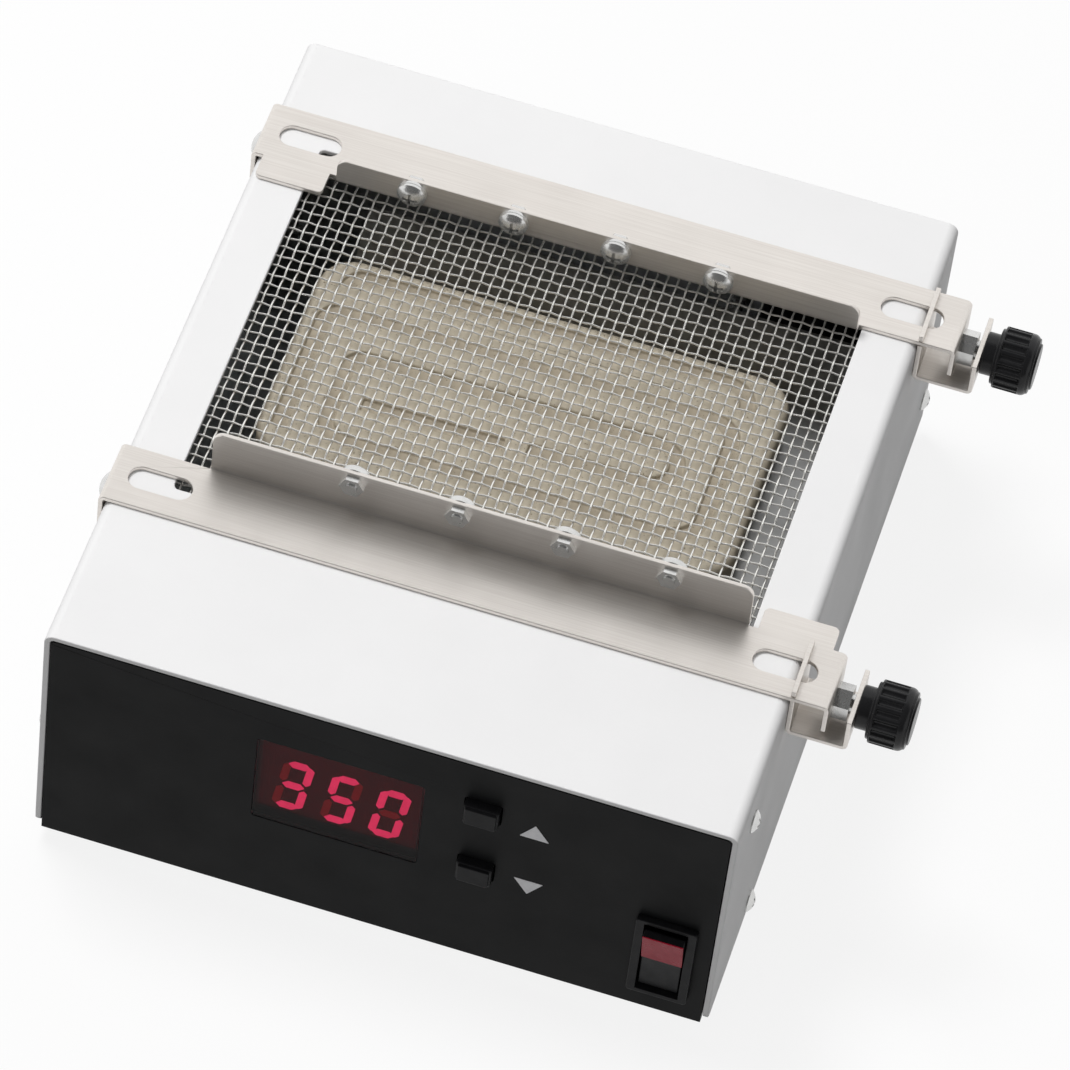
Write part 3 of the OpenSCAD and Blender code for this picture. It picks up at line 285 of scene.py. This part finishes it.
# Control board: green glass-fibre board on brass stand-offs, with the transformer, the power switch on its
# finned sink, two push switches and the display block.
board_green = clouded_finish(
    "board_green", (0.050, 0.230, 0.095), (0.025, 0.140, 0.055), rough=(0.28, 0.42), metallic=0.0,
    cloud_scale=420, pebble_scale=1800, pebble_strength=0.12)
dress(board_green, "control_board")
part_black = clouded_finish(
    "part_black", (0.034, 0.034, 0.036), (0.020, 0.020, 0.022), rough=(0.42, 0.58), metallic=0.0,
    cloud_scale=400, pebble_scale=2600, pebble_strength=0.15)
dress(part_black, "triac", "button_switches")
transformer_blue = clouded_finish(
    "transformer_blue", (0.050, 0.075, 0.130), (0.030, 0.045, 0.085), rough=(0.35, 0.50), metallic=0.0,
    cloud_scale=220, pebble_scale=1500, pebble_strength=0.1)
dress(transformer_blue, "transformer")
drawn_aluminium = clouded_finish(
    "drawn_aluminium", (0.80, 0.81, 0.82), (0.68, 0.69, 0.70), rough=(0.22, 0.36), metallic=1.0,
    cloud_scale=180, pebble_scale=1800, pebble_strength=0.06)
dress(drawn_aluminium, "heat_sink")

# Display: a dark moulded block with three seven-segment digits under a red plastic filter in the panel's window.
# The lit bars glow pink through the filter, the unlit ones are dull red marks with a faint painted glow, and the
# block has a dotted face.
display_low, display_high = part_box("display_module")
dotted = bpy.data.materials.new("dotted_display")
dotted.use_nodes = True
dot_nodes, dot_links = dotted.node_tree.nodes, dotted.node_tree.links
dot_place = dot_nodes.new("ShaderNodeTexCoord")
dot_cells = dot_nodes.new("ShaderNodeTexVoronoi")
dot_cells.inputs["Scale"].default_value = 1500
dot_cells.inputs["Randomness"].default_value = 0.25
dot_links.new(dot_place.outputs["Object"], dot_cells.inputs["Vector"])
dot_ramp = dot_nodes.new("ShaderNodeValToRGB")
dot_ramp.color_ramp.elements[0].position = 0.18
dot_ramp.color_ramp.elements[0].color = (0.20, 0.10, 0.07, 1)
dot_ramp.color_ramp.elements[1].position = 0.42
dot_ramp.color_ramp.elements[1].color = (0.022, 0.012, 0.009, 1)
dot_links.new(dot_cells.outputs["Distance"], dot_ramp.inputs["Fac"])
dot_links.new(dot_ramp.outputs["Color"], dot_nodes["Principled BSDF"].inputs["Base Color"])
dot_nodes["Principled BSDF"].inputs["Roughness"].default_value = 0.6
dress(dotted, "display_module")

filter_red = bpy.data.materials.new("filter_red")
filter_red.use_nodes = True
filter_nodes, filter_links = filter_red.node_tree.nodes, filter_red.node_tree.links
filter_shader = filter_nodes["Principled BSDF"]
filter_shader.inputs["Transmission Weight"].default_value = 1.0
filter_shader.inputs["IOR"].default_value = 1.16
filter_shader.inputs["Specular IOR Level"].default_value = 0.0
filter_clouds = filter_nodes.new("ShaderNodeGroup")
filter_clouds.node_tree = clouds
filter_clouds.inputs["Scale"].default_value = 140
filter_tint = filter_nodes.new("ShaderNodeMix")
filter_tint.data_type = "RGBA"
filter_tint.inputs["A"].default_value = (0.50, 0.050, 0.085, 1)
filter_tint.inputs["B"].default_value = (0.56, 0.060, 0.100, 1)
filter_links.new(filter_clouds.outputs["Mask"], filter_tint.inputs["Factor"])
filter_links.new(filter_tint.outputs["Result"], filter_shader.inputs["Base Color"])
filter_shader.inputs["Roughness"].default_value = 0.04
dress(filter_red, "display_window")

digit_height, digit_width = 0.0196, 0.0079
bar_across, bar_up, bar_thick = 0.0026, 0.0020, 0.00012
digit_middle_z = 0.0487
digit_lean = tan(radians(8))
digit_middles = {"3": -0.0231, "5": -0.0107, "0": 0.0016}
lit_bars = {"3": "abcdg", "5": "acdfg", "0": "abcdef"}
reach_z = digit_height / 2
half_x = (digit_width - bar_up) / 2
bar_places = {"a": (0, reach_z - bar_across / 2), "g": (0, 0), "d": (0, bar_across / 2 - reach_z),
              "f": (-half_x, reach_z / 2), "b": (half_x, reach_z / 2),
              "e": (-half_x, -reach_z / 2), "c": (half_x, -reach_z / 2)}
lit, unlit = [], []
for digit, middle_x in digit_middles.items():
    for bar, (at_x, at_z) in bar_places.items():
        lying = bar in "agd"
        size_x = digit_width - 1.2 * bar_up if lying else bar_up
        size_z = bar_across if lying else reach_z - 0.9 * bar_across
        bpy.ops.object.select_all(action="DESELECT")
        bpy.ops.mesh.primitive_cube_add(size=1)
        segment = bpy.context.object
        segment.scale = (size_x, bar_thick, size_z)
        bpy.ops.object.transform_apply(location=False, rotation=False, scale=True)
        bpy.ops.object.mode_set(mode="EDIT")
        bpy.ops.mesh.select_mode(type="EDGE")
        bpy.ops.mesh.select_all(action="DESELECT")
        bpy.ops.object.mode_set(mode="OBJECT")
        for edge in segment.data.edges:
            one, two = (segment.data.vertices[i].co for i in edge.vertices)
            edge.select = abs(one.x - two.x) < 1e-6 and abs(one.z - two.z) < 1e-6
        bpy.ops.object.mode_set(mode="EDIT")
        bpy.ops.mesh.bevel(offset=0.46 * min(size_x, size_z), segments=1)
        bpy.ops.object.mode_set(mode="OBJECT")
        for corner in segment.data.vertices:
            corner.co.x += at_x + (corner.co.z + at_z) * digit_lean + middle_x
            corner.co.y += display_low.y - 0.0001
            corner.co.z += at_z + digit_middle_z
        (lit if bar in lit_bars[digit] else unlit).append(segment)


def join_pieces(parts, name):
    bpy.ops.object.select_all(action="DESELECT")
    for part in parts:
        part.select_set(True)
    bpy.context.view_layer.objects.active = parts[0]
    bpy.ops.object.join()
    parts[0].name = name
    return parts[0]


def glow_finish(name, base, light, strength):
    """A bar of the display: its own colour, with emitted light in fine bands as the chips below give a lit bar; on
    an unlit bar this emission is a painted glow.
    """
    made = clouded_finish(
        name, base, tuple(0.8 * c for c in base), rough=(0.4, 0.5), metallic=0.0,
        cloud_scale=900, pebble_scale=2000, pebble_strength=0.02)
    nodes, links = made.node_tree.nodes, made.node_tree.links
    spread = nodes.new("ShaderNodeGroup")
    spread.node_tree = clouds
    spread.inputs["Scale"].default_value = 500
    level = nodes.new("ShaderNodeMix")
    level.data_type = "RGBA"
    level.inputs["A"].default_value = (*(0.8 * c for c in light), 1)
    level.inputs["B"].default_value = (*light, 1)
    links.new(spread.outputs["Mask"], level.inputs["Factor"])
    links.new(level.outputs["Result"], nodes["Principled BSDF"].inputs["Emission Color"])
    nodes["Principled BSDF"].inputs["Emission Strength"].default_value = strength
    return made


lit_digits = join_pieces(lit, "lit_bars")
lit_digits.data.materials.append(glow_finish("bar_lit", (0.5, 0.2, 0.25), (1.0, 0.42, 0.95), 1.0))
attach(lit_digits, "housing")
unlit_digits = join_pieces(unlit, "unlit_bars")
# The unlit bars get a faint painted glow, though no chip lights them.
unlit_digits.data.materials.append(glow_finish("bar_unlit_painted_glow", (0.30, 0.10, 0.09), (0.20, 0.05, 0.05), 0.25))
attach(unlit_digits, "housing")

# Front panel: a 2 mm aluminium plate with a satin black coat, held by welded studs and nuts behind it.
# Two pale triangles are printed beside the buttons, one up and one down.


def soften(name, width, segments, finish):
    """A copy of a CAD node with its edges rounded as bending, moulding or tumbling leaves them."""
    source = frame["nodes"][name]
    piece = bpy.data.objects.new(name + "_finished", source.data.copy())
    bpy.context.scene.collection.objects.link(piece)
    bpy.ops.object.select_all(action="DESELECT")
    piece.select_set(True)
    bpy.context.view_layer.objects.active = piece
    bpy.ops.object.mode_set(mode="EDIT")
    bpy.ops.mesh.select_all(action="SELECT")
    bpy.ops.mesh.remove_doubles(threshold=1e-6)
    bpy.ops.mesh.dissolve_limited(angle_limit=radians(1))
    bpy.ops.object.mode_set(mode="OBJECT")
    rounding = piece.modifiers.new("rounding", "BEVEL")
    rounding.width = width
    rounding.segments = segments
    rounding.limit_method = "ANGLE"
    rounding.angle_limit = radians(35)
    rounding.use_clamp_overlap = False
    bpy.ops.object.modifier_apply(modifier="rounding")
    bpy.ops.object.shade_smooth_by_angle(angle=radians(40))
    evened = piece.modifiers.new("evened", "WEIGHTED_NORMAL")
    evened.keep_sharp = True
    evened.weight = 100
    bpy.ops.object.modifier_apply(modifier="evened")
    piece.data.materials.clear()
    piece.data.materials.append(finish)
    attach(piece, source["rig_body"])
    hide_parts(name)
    return piece


panel_black = clouded_finish(
    "panel_black", (0.0090, 0.0092, 0.0095), (0.0062, 0.0064, 0.0068), rough=(0.40, 0.50), metallic=0.0,
    cloud_scale=60, pebble_scale=2400, pebble_strength=0.08, specular=0.07)
soften("front_panel", 0.00012, 2, panel_black)

mark_grey = clouded_finish(
    "mark_grey", (0.88, 0.88, 0.90), (0.82, 0.82, 0.84), rough=(0.45, 0.55), metallic=0.0,
    cloud_scale=700, pebble_scale=2600, pebble_strength=0.05)
panel_front_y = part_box("front_panel")[0].y
mark_x, mark_half, mark_thick, mark_proud = 0.0383, 0.0037, 0.00012, 0.00003
for mark, low_z, high_z, way in (("up_mark", 0.0591, 0.0644, 1), ("down_mark", 0.0365, 0.04175, -1)):
    bpy.ops.object.select_all(action="DESELECT")
    bpy.ops.mesh.primitive_cylinder_add(vertices=3, radius=1, depth=1)
    triangle = bpy.context.object
    triangle.name = mark
    bpy.ops.object.mode_set(mode="EDIT")
    bpy.ops.mesh.select_all(action="SELECT")
    bpy.ops.mesh.bevel(offset=0.04, segments=2, affect="EDGES")
    bpy.ops.object.mode_set(mode="OBJECT")
    turned = Matrix.Rotation(radians(90), 4, "X")
    triangle.data.transform(turned)
    for corner in triangle.data.vertices:
        tip = 0.5 + (corner.co.z - 0.25) / 1.5
        corner.co = (mark_x + corner.co.x / 0.866 * mark_half, panel_front_y - mark_proud + corner.co.y * mark_thick,
                     low_z + tip * (high_z - low_z) if way > 0 else high_z - tip * (high_z - low_z))
    bpy.ops.object.mode_set(mode="EDIT")
    bpy.ops.mesh.select_all(action="SELECT")
    bpy.ops.mesh.normals_make_consistent(inside=False)
    bpy.ops.object.mode_set(mode="OBJECT")
    triangle.data.materials.append(mark_grey)
    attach(triangle, "housing")

# Buttons: two moulded black caps with rounded edges, one above the other beside the window.
# They press straight in through the panel against push switches on the board.
button_black = clouded_finish(
    "button_black", (0.011, 0.011, 0.012), (0.007, 0.007, 0.008), rough=(0.32, 0.42), metallic=0.0,
    cloud_scale=300, pebble_scale=2600, pebble_strength=0.12, specular=0.10)
soften("up_button", 0.00035, 3, button_black)
soften("down_button", 0.00035, 3, button_black)

# Power switch: a black housing snapped into the panel, with a bezel round a rocker on a cross pin.
# The rocker is black, and its upper half carries a red lens.
soften("switch_housing", 0.00030, 2, button_black)
soften("power_rocker", 0.00040, 3, button_black)
lens_red = clouded_finish(
    "lens_red", (0.44, 0.010, 0.035), (0.36, 0.008, 0.027), rough=(0.24, 0.34), metallic=0.0,
    cloud_scale=400, pebble_scale=2200, pebble_strength=0.05, specular=0.1)
lens_wide, lens_thick = 0.0104, 0.00030
lens_low, lens_high = Vector((0.074, -0.104171, 0.02687)), Vector((0.074, -0.106859, 0.03851))
bpy.ops.object.select_all(action="DESELECT")
bpy.ops.mesh.primitive_cube_add(size=1)
rocker_lens = bpy.context.object
rocker_lens.name = "rocker_lens"
lens_up = lens_high - lens_low
lens_out = Vector((0, -lens_up.z, lens_up.y)).normalized()
rocker_lens.scale = (lens_wide, lens_thick, lens_up.length)
bpy.ops.object.transform_apply(location=False, rotation=False, scale=True)
bpy.ops.object.mode_set(mode="EDIT")
bpy.ops.mesh.select_all(action="SELECT")
bpy.ops.mesh.bevel(offset=0.00010, segments=2)
bpy.ops.object.mode_set(mode="OBJECT")
lens_turn = Matrix((Vector((1, 0, 0)), -lens_out, lens_up.normalized())).transposed().to_4x4()
rocker_lens.data.transform(Matrix.Translation((lens_low + lens_high) / 2) @ lens_turn)
rocker_lens.data.materials.append(lens_red)
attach(rocker_lens, "power_rocker")

# Heater: a pressed and glazed ceramic plate with a spiral of shallow grooves over its coil, held by its collar
# through a tray of bright aluminium sheet. The glaze is sand coloured with fine dark specks, and painted shade
# darkens it toward the groove floors.
plate_glaze = clouded_finish(
    "plate_glaze", (0.60, 0.54, 0.435), (0.53, 0.475, 0.38), rough=(0.46, 0.58), metallic=0.0,
    cloud_scale=220, pebble_scale=1300, pebble_strength=0.16)
speck_nodes, speck_links = plate_glaze.node_tree.nodes, plate_glaze.node_tree.links
specks = speck_nodes.new("ShaderNodeGroup")
specks.node_tree = clouds
specks.inputs["Scale"].default_value = 1600
speck_ramp = speck_nodes.new("ShaderNodeValToRGB")
speck_ramp.color_ramp.elements[0].position = 0.02
speck_ramp.color_ramp.elements[0].color = (0.42, 0.38, 0.31, 1)
speck_ramp.color_ramp.elements[1].position = 0.16
speck_ramp.color_ramp.elements[1].color = (1, 1, 1, 1)
speck_links.new(specks.outputs["Mask"], speck_ramp.inputs["Fac"])
speck_mix = speck_nodes.new("ShaderNodeMix")
speck_mix.data_type = "RGBA"
speck_mix.blend_type = "MULTIPLY"
speck_mix.inputs["Factor"].default_value = 1.0
speck_shader = speck_nodes["Principled BSDF"]
speck_links.new(speck_shader.inputs["Base Color"].links[0].from_socket, speck_mix.inputs["A"])
speck_links.new(speck_ramp.outputs["Color"], speck_mix.inputs["B"])
plate_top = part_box("ceramic_heater")[1].z
# Painted shade: the colour darkens with depth toward the groove floors, down to 0.84 of the glaze, as shade falls in
# the hollows.
groove_place = speck_nodes.new("ShaderNodeTexCoord")
groove_axes = speck_nodes.new("ShaderNodeSeparateXYZ")
speck_links.new(groove_place.outputs["Object"], groove_axes.inputs["Vector"])
groove_depth = speck_nodes.new("ShaderNodeMapRange")
groove_depth.inputs["From Min"].default_value = plate_top - 0.0010
groove_depth.inputs["From Max"].default_value = plate_top - 0.0001
speck_links.new(groove_axes.outputs["Z"], groove_depth.inputs["Value"])
groove_painted_shade_mix = speck_nodes.new("ShaderNodeMix")
groove_painted_shade_mix.data_type = "RGBA"
groove_painted_shade_mix.blend_type = "MULTIPLY"
groove_painted_shade_mix.inputs["Factor"].default_value = 1.0
groove_painted_shade_ramp = speck_nodes.new("ShaderNodeValToRGB")
groove_painted_shade_ramp.color_ramp.elements[0].color = (0.84, 0.82, 0.80, 1)
groove_painted_shade_ramp.color_ramp.elements[1].color = (1, 1, 1, 1)
speck_links.new(groove_depth.outputs["Result"], groove_painted_shade_ramp.inputs["Fac"])
speck_links.new(speck_mix.outputs["Result"], groove_painted_shade_mix.inputs["A"])
speck_links.new(groove_painted_shade_ramp.outputs["Color"], groove_painted_shade_mix.inputs["B"])
speck_links.new(groove_painted_shade_mix.outputs["Result"], speck_shader.inputs["Base Color"])
soften("ceramic_heater", 0.00045, 3, plate_glaze)

bright_sheet = clouded_finish(
    "bright_sheet", (0.48, 0.48, 0.48), (0.40, 0.40, 0.40), rough=(0.30, 0.40), metallic=1.0,
    cloud_scale=90, pebble_scale=700, pebble_strength=0.05)
dress(bright_sheet, "reflector")
bead_ceramic = clouded_finish(
    "bead_ceramic", (0.80, 0.77, 0.69), (0.70, 0.66, 0.58), rough=(0.55, 0.70), metallic=0.0,
    cloud_scale=380, pebble_scale=1500, pebble_strength=0.2)
dress(bead_ceramic, "terminal_block", "heater_leads")
dress(zinc_plate, "reflector_screws", "thermocouple")

# Screen: steel wire of about half a millimetre, woven over and under in both directions,
# cut to size and gripped between the cover and the frame below it.
wire_radius, swing_across, swing_back = 0.00028, 0.00018, 0.00039
screen_low, screen_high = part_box("wire_mesh")
screen_middle = (screen_low + screen_high) / 2
pitch_across, pitch_back = 0.00276, 0.00327
count_across = int((screen_high.x - screen_low.x) / 2 / pitch_across - 0.2)
count_back = int((screen_high.y - screen_low.y) / 2 / pitch_back - 0.17)
wire_bright = bpy.data.materials.new("wire_bright")
wire_bright.use_nodes = True
wire_nodes, wire_links = wire_bright.node_tree.nodes, wire_bright.node_tree.links
wire_shader = wire_nodes["Principled BSDF"]
wire_shader.inputs["Metallic"].default_value = 0.68
wire_clouds = wire_nodes.new("ShaderNodeGroup")
wire_clouds.node_tree = clouds
wire_clouds.inputs["Scale"].default_value = 320
wire_tint = wire_nodes.new("ShaderNodeMix")
wire_tint.data_type = "RGBA"
wire_tint.inputs["A"].default_value = (0.82, 0.81, 0.77, 1)
wire_tint.inputs["B"].default_value = (0.93, 0.92, 0.89, 1)
wire_links.new(wire_clouds.outputs["Mask"], wire_tint.inputs["Factor"])
wire_links.new(wire_tint.outputs["Result"], wire_shader.inputs["Base Color"])
wire_gloss = wire_nodes.new("ShaderNodeMapRange")
wire_gloss.inputs["To Min"].default_value = 0.22
wire_gloss.inputs["To Max"].default_value = 0.13
wire_links.new(wire_clouds.outputs["Mask"], wire_gloss.inputs["Value"])
wire_links.new(wire_gloss.outputs["Result"], wire_shader.inputs["Roughness"])
for across in (True, False):
    path = bpy.data.curves.new("screen_wires_across" if across else "screen_wires_back", "CURVE")
    path.dimensions = "3D"
    path.bevel_depth = wire_radius
    path.bevel_resolution = 1
    path.resolution_u = 3
    path.use_fill_caps = True
    rows, steps = (count_back, count_across) if across else (count_across, count_back)
    row_pitch, step_pitch = (pitch_back, pitch_across) if across else (pitch_across, pitch_back)
    half_reach = (screen_high.x - screen_low.x) / 2 if across else (screen_high.y - screen_low.y) / 2
    for row in range(-rows, rows + 1):
        wire = path.splines.new("BEZIER")
        wire.bezier_points.add(2 * steps + 2)
        stations = [-half_reach] + [step * step_pitch for step in range(-steps, steps + 1)] + [half_reach]
        for knot, station in zip(wire.bezier_points, stations):
            crossing = round(station / step_pitch)
            over = 1 if (row + crossing) % 2 == 0 else -1
            lift = swing_across * over if across else -swing_back * over
            if abs(station) == half_reach:
                lift = 0
            side = row * row_pitch
            knot.co = screen_middle + Vector((station, side, lift) if across else (side, station, lift))
            knot.handle_left_type = knot.handle_right_type = "AUTO"
    woven = bpy.data.objects.new(path.name, path)
    bpy.context.scene.collection.objects.link(woven)
    bpy.ops.object.select_all(action="DESELECT")
    woven.select_set(True)
    bpy.context.view_layer.objects.active = woven
    bpy.ops.object.convert(target="MESH")
    woven = bpy.context.object
    bpy.ops.object.shade_smooth()
    woven.data.materials.clear()
    woven.data.materials.append(wire_bright)
    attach(woven, "housing")
    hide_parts("wire_mesh")

# Cover: one folded sheet of steel for the top and both sides, with a white powder coat of faint orange peel.
# Pan-head screws hold it to the chassis walls; their heads, painted with it on the unit, are given the zinc plating
# here.
powder_white = clouded_finish(
    "powder_white", (0.900, 0.898, 0.900), (0.880, 0.878, 0.880), rough=(0.46, 0.56), metallic=0.0,
    cloud_scale=45, pebble_scale=900, pebble_strength=0.10, specular=0.1)
soften("cover", 0.00030, 2, powder_white)
dress(zinc_plate, "cover_screws")

# Rails: two strips of brushed stainless steel with an upright flange that the circuit board leans on.
# Slots at the ends take the clamps, and support screws with washers and nuts run through the flange.
brushed_lines, start, end, place = shader_group(
    "brushed_lines", [("Scale", "NodeSocketFloat", 2600.0)],
    [("Mask", "NodeSocketFloat"), ("Normal", "NodeSocketVector")])
line_stretch = brushed_lines.nodes.new("ShaderNodeMapping")
line_stretch.inputs["Scale"].default_value = (0.012, 1, 1)
brushed_lines.links.new(place.outputs["Object"], line_stretch.inputs["Vector"])
line_noise = brushed_lines.nodes.new("ShaderNodeTexNoise")
line_noise.inputs["Detail"].default_value = 3.0
brushed_lines.links.new(line_stretch.outputs["Vector"], line_noise.inputs["Vector"])
brushed_lines.links.new(start.outputs["Scale"], line_noise.inputs["Scale"])
line_range = brushed_lines.nodes.new("ShaderNodeMapRange")
line_range.inputs["From Min"].default_value = 0.3
line_range.inputs["From Max"].default_value = 0.7
brushed_lines.links.new(line_noise.outputs["Fac"], line_range.inputs["Value"])
brushed_lines.links.new(line_range.outputs["Result"], end.inputs["Mask"])
line_bump = brushed_lines.nodes.new("ShaderNodeBump")
line_bump.inputs["Strength"].default_value = 0.12
line_bump.inputs["Distance"].default_value = 0.0001
brushed_lines.links.new(line_noise.outputs["Fac"], line_bump.inputs["Height"])
brushed_lines.links.new(line_bump.outputs["Normal"], end.inputs["Normal"])

brushed_steel = bpy.data.materials.new("brushed_steel")
brushed_steel.use_nodes = True
steel_nodes, steel_links = brushed_steel.node_tree.nodes, brushed_steel.node_tree.links
steel_shader = steel_nodes["Principled BSDF"]
steel_shader.inputs["Metallic"].default_value = 0.8
steel_lines = steel_nodes.new("ShaderNodeGroup")
steel_lines.node_tree = brushed_lines
steel_lines.inputs["Scale"].default_value = 2600
steel_clouds = steel_nodes.new("ShaderNodeGroup")
steel_clouds.node_tree = clouds
steel_clouds.inputs["Scale"].default_value = 70
steel_tint = steel_nodes.new("ShaderNodeMix")
steel_tint.data_type = "RGBA"
steel_tint.inputs["A"].default_value = (0.790, 0.745, 0.700, 1)
steel_tint.inputs["B"].default_value = (0.870, 0.830, 0.785, 1)
steel_links.new(steel_lines.outputs["Mask"], steel_tint.inputs["Factor"])
steel_links.new(steel_tint.outputs["Result"], steel_shader.inputs["Base Color"])
steel_gloss = steel_nodes.new("ShaderNodeMapRange")
steel_gloss.inputs["To Min"].default_value = 0.34
steel_gloss.inputs["To Max"].default_value = 0.42
steel_links.new(steel_clouds.outputs["Mask"], steel_gloss.inputs["Value"])
steel_links.new(steel_gloss.outputs["Result"], steel_shader.inputs["Roughness"])
steel_links.new(steel_lines.outputs["Normal"], steel_shader.inputs["Normal"])
for end_name in ("front", "rear"):
    soften(end_name + "_rail", 0.00018, 2, brushed_steel)
    dress(zinc_plate, end_name + "_rail_screws", end_name + "_rail_washers", end_name + "_rail_nuts",
          end_name + "_stop_screw", end_name + "_clamp_nut")

# Clamps: a bracket bent from the same stainless sheet reaches through each rail's end slot with a T head.
# A threaded stud with a ribbed black knob draws it against the cover's side.
knob_black = clouded_finish(
    "knob_black", (0.017, 0.017, 0.018), (0.012, 0.012, 0.013), rough=(0.24, 0.32), metallic=0.0,
    cloud_scale=260, pebble_scale=1800, pebble_strength=0.04, specular=0.25)
for end_name in ("front", "rear"):
    soften(end_name + "_clamp_bracket", 0.00018, 2, brushed_steel)
    dress(zinc_plate, end_name + "_knob_stud")
    soften(end_name + "_knob", 0.00028, 3, knob_black)
